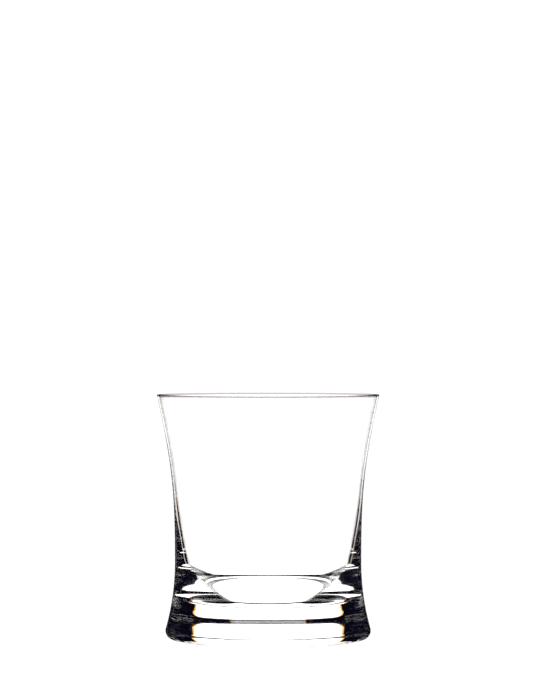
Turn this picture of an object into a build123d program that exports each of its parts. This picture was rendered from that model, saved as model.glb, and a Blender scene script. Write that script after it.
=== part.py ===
from build123d import *
import math
import os

# Clear glass whiskey tumbler: a flared bowl with a heavy rounded bottom, fused to a solid foot disc.
# Frame: +Z up, origin at the centre of the plane that the tumbler stands on. Millimetres and degrees.

# Overall sizes
HEIGHT = 100.0            # standing plane to the top of the lip
WAIST_R = 38.16           # narrowest outside radius
WAIST_Z = 31.4            # height of the waist
FOOT_FLARE_R = 100.0      # radius of the concave flare below the waist
FOOT_CORNER_R = 3.4       # rounding at the outer edge of the foot

# Lip: the wall ends in a melted half-round bead, square to the wall
LIP_R = 45.1              # radius of the bead's centre line
LIP_BEAD_R = 0.42         # half the wall thickness at the lip
LIP_LEAN = 12.5           # outward lean of the wall at the lip

# Outside of the bowl, from the waist up to the lip
WAIST_RUN = 28.6          # how far the outside stays nearly upright above the waist
OUTER_LIP_RUN = 29.0      # how far the straight lean reaches down from the lip

# Inside of the bowl: wall, long belly arc, tight corner arc, flat floor
INNER_LIP_RUN = 41.2      # how far the straight lean reaches down from the lip
BELLY_RUN = 26.9          # how far the belly's own lean is kept going up the wall
BELLY_LEAN = 10.3         # outward lean of the wall where the belly arc starts
BELLY_R = 45.5            # radius of the belly arc
CORNER_LEAN = 30.1        # outward lean where the belly arc meets the corner arc
CORNER_R = 7.1            # radius of the corner arc
FLOOR_LEAN = 90.0         # the corner arc ends level, where the floor starts
FLOOR_R = 22.4            # radius of the flat inside floor
FLOOR_Z = 13.5            # inside floor, above the standing plane

# Foot disc and the shallow hollow under it
SEAM_Z = 8.0              # height of the flat joint between the foot disc and the bowl
HOLLOW_R = 25.0           # radius of the hollow's edge, where the standing ring starts
HOLLOW_DEPTH = 0.2        # height of the hollow at the axis


def at(r, z):
    return Vector(r, 0, z)


def flare_radius(z):
    """Outside radius of the concave flare below the waist."""
    return WAIST_R + FOOT_FLARE_R - math.sqrt(FOOT_FLARE_R**2 - (WAIST_Z - z)**2)


def lean(angle):
    """Unit vector going up along a wall that leans out by an angle."""
    return at(math.sin(math.radians(angle)), math.cos(math.radians(angle)))


def spoke(angle):
    """Unit vector square to that wall, pointing out of the cavity."""
    up = lean(angle)
    return at(up.Z, -up.X)


def cavity_arc(centre, radius, high_lean, low_lean):
    """Arc of the inside surface, from where it leans by the first angle down to the second."""
    middle = (high_lean + low_lean) / 2
    return ThreePointArc(
        centre + spoke(high_lean) * radius,
        centre + spoke(middle) * radius,
        centre + spoke(low_lean) * radius,
    )


def foot_corner():
    """Centre of the foot's corner arc, and where that arc leaves the flare."""
    # the corner circle stands on z = 0 and touches the flare circle from inside the glass
    flare_centre_r = WAIST_R + FOOT_FLARE_R
    centre_z = FOOT_CORNER_R
    reach = FOOT_FLARE_R + FOOT_CORNER_R
    centre_r = flare_centre_r - math.sqrt(reach**2 - (WAIST_Z - centre_z)**2)
    share = FOOT_CORNER_R / reach
    touch = at(
        centre_r + (flare_centre_r - centre_r) * share,
        centre_z + (WAIST_Z - centre_z) * share,
    )
    return at(centre_r, centre_z), touch


def flare_arc(z_low, z_high):
    """The outside of the flare between two heights, from the lower to the upper."""
    middle = (z_low + z_high) / 2
    return ThreePointArc(
        at(flare_radius(z_low), z_low),
        at(flare_radius(middle), middle),
        at(flare_radius(z_high), z_high),
    )


def revolved(edges):
    """Solid of revolution about Z from a closed outline in the XZ plane."""
    return revolve(make_face(edges), Axis.Z)


def bowl():
    """Flared wall with its melted lip, thickening into a rounded heavy bottom."""
    lip = at(LIP_R, HEIGHT - LIP_BEAD_R)
    up = lean(LIP_LEAN)
    lip_out = lip + spoke(LIP_LEAN) * LIP_BEAD_R
    lip_in = lip - spoke(LIP_LEAN) * LIP_BEAD_R
    waist = at(WAIST_R, WAIST_Z)
    floor_edge = at(FLOOR_R, FLOOR_Z)
    corner = floor_edge + at(0, CORNER_R)
    belly = corner - spoke(CORNER_LEAN) * (BELLY_R - CORNER_R)
    belly_top = belly + spoke(BELLY_LEAN) * BELLY_R
    centre_low = at(0, SEAM_Z)
    centre_high = at(0, FLOOR_Z)
    seam_edge = at(flare_radius(SEAM_Z), SEAM_Z)
    return revolved([
        Line(centre_low, seam_edge),
        flare_arc(SEAM_Z, WAIST_Z),
        Bezier(waist, waist + at(0, WAIST_RUN), lip_out - up * OUTER_LIP_RUN, lip_out),
        ThreePointArc(lip_out, lip + up * LIP_BEAD_R, lip_in),
        Bezier(lip_in, lip_in - up * INNER_LIP_RUN, belly_top + lean(BELLY_LEAN) * BELLY_RUN, belly_top),
        cavity_arc(belly, BELLY_R, BELLY_LEAN, CORNER_LEAN),
        cavity_arc(corner, CORNER_R, CORNER_LEAN, FLOOR_LEAN),
        Line(floor_edge, centre_high),
        Line(centre_high, centre_low),
    ])


def foot():
    """Solid foot disc with a rounded outer edge and a shallow domed hollow under it."""
    corner, touch = foot_corner()
    corner_mid = corner + (touch - corner + at(0, -FOOT_CORNER_R)).normalized() * FOOT_CORNER_R
    stand_edge = at(corner.X, 0)
    seam_edge = at(flare_radius(SEAM_Z), SEAM_Z)
    centre_low = at(0, HOLLOW_DEPTH)
    centre_high = at(0, SEAM_Z)
    # one arc of the hollow's sphere, from the axis out to its edge
    sphere_r = (HOLLOW_R**2 + HOLLOW_DEPTH**2) / (2 * HOLLOW_DEPTH)
    half_r = HOLLOW_R / 2
    half_z = HOLLOW_DEPTH - sphere_r + math.sqrt(sphere_r**2 - half_r**2)
    hollow_edge = at(HOLLOW_R, 0)
    return revolved([
        ThreePointArc(centre_low, at(half_r, half_z), hollow_edge),
        Line(hollow_edge, stand_edge),
        ThreePointArc(stand_edge, corner_mid, touch),
        flare_arc(touch.Z, SEAM_Z),
        Line(seam_edge, centre_high),
        Line(centre_high, centre_low),
    ])


os.makedirs("parts", exist_ok=True)
export_step(bowl(), "parts/bowl.step")
export_step(foot(), "parts/foot.step")
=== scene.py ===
import bpy
import math
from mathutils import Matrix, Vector


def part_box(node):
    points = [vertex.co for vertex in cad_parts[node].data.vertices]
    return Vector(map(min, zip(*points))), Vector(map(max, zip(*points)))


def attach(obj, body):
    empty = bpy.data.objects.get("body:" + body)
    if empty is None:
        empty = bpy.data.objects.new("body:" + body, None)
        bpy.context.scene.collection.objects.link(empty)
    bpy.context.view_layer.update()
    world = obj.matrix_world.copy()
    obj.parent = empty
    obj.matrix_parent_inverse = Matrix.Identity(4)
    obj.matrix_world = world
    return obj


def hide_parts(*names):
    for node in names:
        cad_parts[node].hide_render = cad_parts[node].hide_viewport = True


# Looks of the clear glass whiskey tumbler: lathe-turned glass with exact normals, in bright-field light.
# Frame: +Z up, origin at the centre of the plane that the tumbler stands on.

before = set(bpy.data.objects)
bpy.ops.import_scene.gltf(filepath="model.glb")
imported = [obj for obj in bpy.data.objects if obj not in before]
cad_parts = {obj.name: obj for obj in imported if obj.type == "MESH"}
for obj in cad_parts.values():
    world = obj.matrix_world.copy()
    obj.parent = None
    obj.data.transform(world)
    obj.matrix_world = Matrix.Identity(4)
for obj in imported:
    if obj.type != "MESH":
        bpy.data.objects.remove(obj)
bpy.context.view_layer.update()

MM = 0.001

# Sizes that the CAD boxes give, in millimetres
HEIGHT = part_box("bowl")[1][2] / MM
SEAM_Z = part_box("foot")[1][2] / MM

# The rest of the outline, as in the CAD source, in millimetres and degrees
WAIST_R = 38.16
WAIST_Z = 31.4
FOOT_FLARE_R = 100.0
FOOT_CORNER_R = 3.4
LIP_R = 45.1
LIP_BEAD_R = 0.42
LIP_LEAN = 12.5
WAIST_RUN = 28.6
OUTER_LIP_RUN = 29.0
INNER_LIP_RUN = 41.2
BELLY_RUN = 26.9
BELLY_LEAN = 10.3
BELLY_R = 45.5
CORNER_LEAN = 30.1
CORNER_R = 7.1
FLOOR_R = 22.4
FLOOR_Z = 13.5
HOLLOW_R = 25.0
HOLLOW_DEPTH = 0.2

IOR = 1.5                 # refractive index of the glass

# How finely the outline is divided
TURNS = 256               # vertices round each ring of the glass
WALL_STEPS = 48           # along each long curve of the wall
ARC_STEPS = 24            # along the arcs of the flare, the belly and the corners
SHORT_STEPS = 16          # round the lip and along the hollow
FLAT_STEPS = 8            # along straight runs and the short end of the flare

ON_AXIS = 1e-6            # millimetres; a ring smaller than this is a single vertex
SAME_HEIGHT = 1e-7        # metres; vertices this near to the joint's height lie in it


# ---------------------------------------------------------------- outline

def direction(lean):
    """Unit vector (r, z) going up along a wall that leans out by this many degrees."""
    return Vector((math.sin(math.radians(lean)), math.cos(math.radians(lean))))


def spoke(lean):
    """Unit vector (r, z) square to that wall, pointing out of the cavity."""
    up = direction(lean)
    return Vector((up.y, -up.x))


def bezier(a, b, c, d, count):
    """Points and tangents along a cubic curve."""
    out = []
    for i in range(count + 1):
        t = i / count
        s = 1 - t
        point = a * s**3 + b * 3 * s * s * t + c * 3 * s * t * t + d * t**3
        tangent = (b - a) * s * s + (c - b) * 2 * s * t + (d - c) * t * t
        out.append((point, tangent.normalized()))
    return out


def arc(centre, radius, start, end, count):
    """Points and tangents along a circular arc, from one angle to another, in radians."""
    way = 1 if end > start else -1
    out = []
    for i in range(count + 1):
        angle = start + (end - start) * i / count
        ray = Vector((math.cos(angle), math.sin(angle)))
        out.append((centre + ray * radius, Vector((-ray.y, ray.x)) * way))
    return out


def straight(a, b, count):
    """Points and tangents along a straight run."""
    tangent = (b - a).normalized()
    return [(a.lerp(b, i / count), tangent) for i in range(count + 1)]


def flare_centre():
    """Centre (r, z) of the concave flare below the waist."""
    return Vector((WAIST_R + FOOT_FLARE_R, WAIST_Z))


def flare_angle(z):
    """Angle on the flare's circle of the outside point at height z."""
    return math.pi + math.asin((WAIST_Z - z) / FOOT_FLARE_R)


def seam_edge():
    """Outside point (r, z) at the height of the fused joint."""
    angle = flare_angle(SEAM_Z)
    return flare_centre() + Vector((math.cos(angle), math.sin(angle))) * FOOT_FLARE_R


def bowl_outline():
    """Smooth runs of the bowl's surface: the fused face, the outside, the lip, the inside and the floor."""
    up = direction(LIP_LEAN)
    lip = Vector((LIP_R, HEIGHT - LIP_BEAD_R))
    lip_out = lip + spoke(LIP_LEAN) * LIP_BEAD_R
    lip_in = lip - spoke(LIP_LEAN) * LIP_BEAD_R
    waist = Vector((WAIST_R, WAIST_Z))
    floor_edge = Vector((FLOOR_R, FLOOR_Z))
    corner = floor_edge + Vector((0, CORNER_R))
    belly = corner - spoke(CORNER_LEAN) * (BELLY_R - CORNER_R)
    belly_top = belly + spoke(BELLY_LEAN) * BELLY_R
    rise = direction(BELLY_LEAN)
    lip_angle = math.radians(-LIP_LEAN)
    belly_angle = math.radians(-BELLY_LEAN)
    corner_angle = math.radians(-CORNER_LEAN)
    return [
        straight(Vector((0, SEAM_Z)), seam_edge(), FLAT_STEPS),
        arc(flare_centre(), FOOT_FLARE_R, flare_angle(SEAM_Z), math.pi, ARC_STEPS),
        bezier(waist, waist + Vector((0, WAIST_RUN)), lip_out - up * OUTER_LIP_RUN, lip_out, WALL_STEPS),
        arc(lip, LIP_BEAD_R, lip_angle, lip_angle + math.pi, SHORT_STEPS),
        bezier(lip_in, lip_in - up * INNER_LIP_RUN, belly_top + rise * BELLY_RUN, belly_top, WALL_STEPS),
        arc(belly, BELLY_R, belly_angle, corner_angle, ARC_STEPS),
        arc(corner, CORNER_R, corner_angle, -math.pi / 2, ARC_STEPS),
        straight(floor_edge, Vector((0, FLOOR_Z)), FLAT_STEPS),
    ]


def foot_outline():
    """Smooth runs of the foot's surface: hollow, standing ring, corner, side and fused face."""
    centre_z = FOOT_CORNER_R
    reach = FOOT_FLARE_R + FOOT_CORNER_R
    flare = flare_centre()
    centre_r = flare.x - math.sqrt(reach**2 - (WAIST_Z - centre_z)**2)
    corner = Vector((centre_r, centre_z))
    toward = math.atan2(flare.y - centre_z, flare.x - centre_r)
    touch_z = centre_z + FOOT_CORNER_R * math.sin(toward)
    sphere_r = (HOLLOW_R**2 + HOLLOW_DEPTH**2) / (2 * HOLLOW_DEPTH)
    sphere = Vector((0, HOLLOW_DEPTH - sphere_r))
    spread = math.asin(HOLLOW_R / sphere_r)
    return [
        arc(sphere, sphere_r, math.pi / 2, math.pi / 2 - spread, SHORT_STEPS),
        straight(Vector((HOLLOW_R, 0)), Vector((centre_r, 0)), FLAT_STEPS),
        arc(corner, FOOT_CORNER_R, -math.pi / 2, toward, ARC_STEPS),
        arc(flare, FOOT_FLARE_R, flare_angle(touch_z), flare_angle(SEAM_Z), FLAT_STEPS),
        straight(seam_edge(), Vector((0, SEAM_Z)), FLAT_STEPS),
    ]


# ---------------------------------------------------------------- mesh

def turned(name, runs, material, fused):
    """Turns an outline about Z. Every face corner gets the outline's own exact normal."""
    verts = []
    faces = []
    normals = []

    def ring(r, z):
        first = len(verts)
        if r < ON_AXIS:
            verts.append((0, 0, z * MM))
            return [first] * TURNS
        for k in range(TURNS):
            turn = 2 * math.pi * k / TURNS
            verts.append((r * math.cos(turn) * MM, r * math.sin(turn) * MM, z * MM))
        return list(range(first, first + TURNS))

    def normal(tangent, k):
        turn = 2 * math.pi * k / TURNS
        return (tangent.y * math.cos(turn), tangent.y * math.sin(turn), -tangent.x)

    def strip(low, low_tangent, high, high_tangent):
        for k in range(TURNS):
            n = (k + 1) % TURNS
            corners = [(low[k], low_tangent, k), (low[n], low_tangent, k + 1)]
            corners += [(high[n], high_tangent, k + 1), (high[k], high_tangent, k)]
            # a ring on the axis is one vertex, so the faces that reach it are triangles
            seen = []
            kept = []
            for index, tangent, turn in corners:
                if index not in seen:
                    seen.append(index)
                    kept.append(normal(tangent, turn))
            faces.append(seen)
            normals.extend(kept)

    last = None
    for run in runs:
        for i, (point, tangent) in enumerate(run):
            if i == 0 and last is not None:
                last = (last[0], tangent)
                continue
            here = (ring(point.x, point.y), tangent)
            if last is not None:
                strip(last[0], last[1], here[0], here[1])
            last = here

    mesh = bpy.data.meshes.new(name)
    mesh.from_pydata(verts, [], faces)
    mesh.polygons.foreach_set("use_smooth", [True] * len(mesh.polygons))
    mesh.normals_split_custom_set(normals)
    mesh.materials.append(material)
    mesh.materials.append(fused)
    seam = SEAM_Z * MM
    for face in mesh.polygons:
        flat = all(abs(verts[index][2] - seam) < SAME_HEIGHT for index in face.vertices)
        face.material_index = 1 if flat else 0
    mesh.validate()
    piece = bpy.data.objects.new(name, mesh)
    bpy.context.scene.collection.objects.link(piece)
    return piece


# ---------------------------------------------------------------- materials

STRIAE_SCALE = (70, 70, 25)      # cords in the glass, waves per metre, drawn out along the height
STRIAE_DEPTH = 0.00001           # metres
HAZE_SCALE = 40                  # waves per metre
HAZE_NOISE = (0.45, 0.75)        # the haze rises to its full roughness over this range of the noise
HAZE_ROUGH = 0.012
SCUFF_SCALE = 3000               # waves per metre
SCUFF_NOISE = (0.5, 0.7)         # the same for the scuffs
SCUFF_ROUGH = 0.25
SCUFF_HIGH = 0.0006              # scuffs from the shelf reach this far up the foot, metres
# The lip's darker tone is painted shade, not a colour of the real glass: it stands in for the dark line of
# the real lip, which comes from light bent away at the lip
RIM_SHADE_DEEP = 0.0011                # the painted shade reaches this far below the top, metres
RIM_PAINTED_SHADE = (0.34, 0.31, 0.34, 1)
CLEAR = (1, 1, 1, 1)


def glass(name):
    """Clear glass: faint cords bend it, a trace of haze varies its polish, its standing ring is scuffed, and
    its lip gets a painted dark shade.
    """
    material = bpy.data.materials.new(name)
    material.use_nodes = True
    nodes = material.node_tree.nodes
    links = material.node_tree.links
    shader = nodes["Principled BSDF"]
    shader.inputs["IOR"].default_value = IOR
    shader.inputs["Transmission Weight"].default_value = 1.0
    place = nodes.new("ShaderNodeTexCoord")
    height = nodes.new("ShaderNodeSeparateXYZ")
    links.new(place.outputs["Object"], height.inputs[0])

    stretch = nodes.new("ShaderNodeMapping")
    stretch.inputs["Scale"].default_value = STRIAE_SCALE
    links.new(place.outputs["Object"], stretch.inputs["Vector"])
    cords = nodes.new("ShaderNodeTexNoise")
    cords.inputs["Scale"].default_value = 1
    cords.inputs["Detail"].default_value = 1
    links.new(stretch.outputs[0], cords.inputs["Vector"])
    bump = nodes.new("ShaderNodeBump")
    bump.inputs["Strength"].default_value = 1
    bump.inputs["Distance"].default_value = STRIAE_DEPTH
    links.new(cords.outputs["Fac"], bump.inputs["Height"])
    links.new(bump.outputs["Normal"], shader.inputs["Normal"])

    def spread(value, low, high, to_low, to_high):
        node = nodes.new("ShaderNodeMapRange")
        node.inputs["From Min"].default_value = low
        node.inputs["From Max"].default_value = high
        node.inputs["To Min"].default_value = to_low
        node.inputs["To Max"].default_value = to_high
        links.new(value, node.inputs["Value"])
        return node.outputs[0]

    def combined(operation, a, b):
        node = nodes.new("ShaderNodeMath")
        node.operation = operation
        links.new(a, node.inputs[0])
        links.new(b, node.inputs[1])
        return node.outputs[0]

    wipes = nodes.new("ShaderNodeTexNoise")
    wipes.inputs["Scale"].default_value = HAZE_SCALE
    links.new(place.outputs["Object"], wipes.inputs["Vector"])
    haze = spread(wipes.outputs["Fac"], *HAZE_NOISE, 0.0, HAZE_ROUGH)
    grit = nodes.new("ShaderNodeTexNoise")
    grit.inputs["Scale"].default_value = SCUFF_SCALE
    links.new(place.outputs["Object"], grit.inputs["Vector"])
    scratch = spread(grit.outputs["Fac"], *SCUFF_NOISE, 0.0, SCUFF_ROUGH)
    worn = spread(height.outputs["Z"], 0.0, SCUFF_HIGH, 1.0, 0.0)
    scuffs = combined("MULTIPLY", scratch, worn)
    links.new(combined("MAXIMUM", haze, scuffs), shader.inputs["Roughness"])

    # painted shade: the base colour darkens towards the top of the lip, standing in for the real lip's dark
    # line
    top = HEIGHT * MM
    rim_shade_mask = spread(height.outputs["Z"], top - RIM_SHADE_DEEP, top - RIM_SHADE_DEEP / 2, 0.0, 1.0)
    rim_shade_mix = nodes.new("ShaderNodeMix")
    rim_shade_mix.data_type = "RGBA"
    rim_shade_mix.inputs[6].default_value = CLEAR       # sockets 6 and 7 are the two colours
    rim_shade_mix.inputs[7].default_value = RIM_PAINTED_SHADE
    links.new(rim_shade_mask, rim_shade_mix.inputs[0])
    links.new(rim_shade_mix.outputs[2], shader.inputs["Base Color"])
    return material


def fused_face():
    """The joint inside the glass: it is fused through, so light passes as if nothing were there."""
    material = bpy.data.materials.new("fused_joint")
    material.use_nodes = True
    shader = material.node_tree.nodes["Principled BSDF"]
    shader.inputs["Alpha"].default_value = 0.0
    return material


def glow(name, strength, colour=(1, 1, 1)):
    """Light-giving surface for the stage."""
    material = bpy.data.materials.new(name)
    material.use_nodes = True
    nodes = material.node_tree.nodes
    nodes.clear()
    out = nodes.new("ShaderNodeOutputMaterial")
    light = nodes.new("ShaderNodeEmission")
    light.inputs["Color"].default_value = (*colour, 1)
    light.inputs["Strength"].default_value = strength
    material.node_tree.links.new(light.outputs[0], out.inputs["Surface"])
    material.cycles.emission_sampling = "NONE"
    return material


# ---------------------------------------------------------------- the tumbler

joint = fused_face()

bowl = turned("bowl_glass", bowl_outline(), glass("crystal_bowl"), joint)
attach(bowl, "root")
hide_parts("bowl")

foot = turned("foot_glass", foot_outline(), glass("crystal_foot"), joint)
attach(foot, "root")
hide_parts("foot")


# ---------------------------------------------------------------- camera

CAMERA_DISTANCE = 1.3441  # in front of the glass, metres
CAMERA_HEIGHT = 0.1217    # it looks level from here, above the standing plane
CAMERA_SIDE = -0.00066    # a little left of the glass's axis
LENS = 172.9              # millimetres
SENSOR = 36               # millimetres
FAR_CLIP = 50             # metres

camera = bpy.data.objects.new("camera", bpy.data.cameras.new("camera"))
bpy.context.scene.collection.objects.link(camera)
camera.location = (CAMERA_SIDE, -CAMERA_DISTANCE, CAMERA_HEIGHT)
camera.rotation_euler = (math.pi / 2, 0, 0)
camera.data.sensor_width = SENSOR
camera.data.lens = LENS
camera.data.clip_end = FAR_CLIP
bpy.context.scene.camera = camera


# ---------------------------------------------------------------- stage and light

WINDOW_HALF = 0.153       # half the width of the light band, metres
WINDOW_R = 0.275          # how far it stands from the middle of the glass, metres
WINDOW_LOW = -98.0        # it starts below and slightly in front; degrees up from straight back
WINDOW_TOP = 40.0         # it ends behind and above
WINDOW_STEPS = 96         # faces along the band
WINDOW_LIGHT = 2.0
FRINGE = 0.008            # the band's side edges are warm this far in, like the colours that glass splits off
FRINGE_COLOUR = (1.0, 0.5, 0.08)
FRINGE_LIGHT = 1.2
WHITE = 1.05              # backdrop and floor, as the camera sees them
DARK = (0.002, 0.0017, 0.006, 1)     # what the glass sees past the band
FLOOR_HALF = 20           # metres
FLOOR_DROP = 0.0002       # the floor lies this far under the foot, so that the two don't share a plane
BOUNCES = 32              # enough for light that is caught between the walls


def window():
    """Soft light band that runs under the tumbler and up behind it, with darkness on both sides of it.

    It is built in the camera's own axes (across, up, towards the camera). A constraint turns it with the
    camera, round the middle of the glass, so each view has its own light and not one fixed set of lights.
    """
    columns = (-WINDOW_HALF, FRINGE - WINDOW_HALF, WINDOW_HALF - FRINGE, WINDOW_HALF)
    strips = len(columns) - 1
    verts = []
    for j in range(WINDOW_STEPS + 1):
        pitch = math.radians(WINDOW_LOW + (WINDOW_TOP - WINDOW_LOW) * j / WINDOW_STEPS)
        up = WINDOW_R * math.sin(pitch)
        toward = -WINDOW_R * math.cos(pitch)
        verts.extend([(x, up, toward) for x in columns])
    faces = []
    for j in range(WINDOW_STEPS):
        for i in range(strips):
            first = len(columns) * j + i
            after = first + len(columns)
            faces.append((first, first + 1, after + 1, after))
    mesh = bpy.data.meshes.new("window")
    mesh.from_pydata(verts, [], faces)
    mesh.materials.append(glow("window_light", WINDOW_LIGHT))
    mesh.materials.append(glow("window_fringe", FRINGE_LIGHT, FRINGE_COLOUR))
    for index, face in enumerate(mesh.polygons):
        # the middle strip is white light, the outer two are the warm fringe
        face.material_index = 0 if index % strips == 1 else 1
    band = bpy.data.objects.new("window", mesh)
    bpy.context.scene.collection.objects.link(band)
    band.location = (0, 0, HEIGHT / 2 * MM)
    turn = band.constraints.new("COPY_ROTATION")
    turn.target = camera
    band.visible_camera = False
    band.visible_glossy = False
    return band


def floor():
    """White ground that only the camera sees."""
    half = FLOOR_HALF
    mesh = bpy.data.meshes.new("floor")
    corners = [(-half, -half, 0), (half, -half, 0), (half, half, 0), (-half, half, 0)]
    mesh.from_pydata(corners, [], [(0, 1, 2, 3)])
    mesh.materials.append(glow("floor_white", WHITE))
    plane = bpy.data.objects.new("floor", mesh)
    bpy.context.scene.collection.objects.link(plane)
    plane.location.z = -FLOOR_DROP
    plane.visible_transmission = False
    plane.visible_glossy = False
    plane.visible_shadow = False
    return plane


window()
floor()

# The world is white to the camera and dark to everything else
world = bpy.data.worlds.new("studio")
bpy.context.scene.world = world
world.use_nodes = True
nodes = world.node_tree.nodes
links = world.node_tree.links
nodes.clear()
path = nodes.new("ShaderNodeLightPath")
backdrop = nodes.new("ShaderNodeBackground")
backdrop.inputs["Color"].default_value = (1, 1, 1, 1)
backdrop.inputs["Strength"].default_value = WHITE
dark = nodes.new("ShaderNodeBackground")
dark.inputs["Color"].default_value = DARK
mix = nodes.new("ShaderNodeMixShader")
out = nodes.new("ShaderNodeOutputWorld")
links.new(path.outputs["Is Camera Ray"], mix.inputs[0])
links.new(dark.outputs[0], mix.inputs[1])
links.new(backdrop.outputs[0], mix.inputs[2])
links.new(mix.outputs[0], out.inputs["Surface"])

scene = bpy.context.scene
scene.view_settings.view_transform = "Standard"
scene.cycles.max_bounces = BOUNCES
scene.cycles.transmission_bounces = BOUNCES
scene.cycles.glossy_bounces = BOUNCES
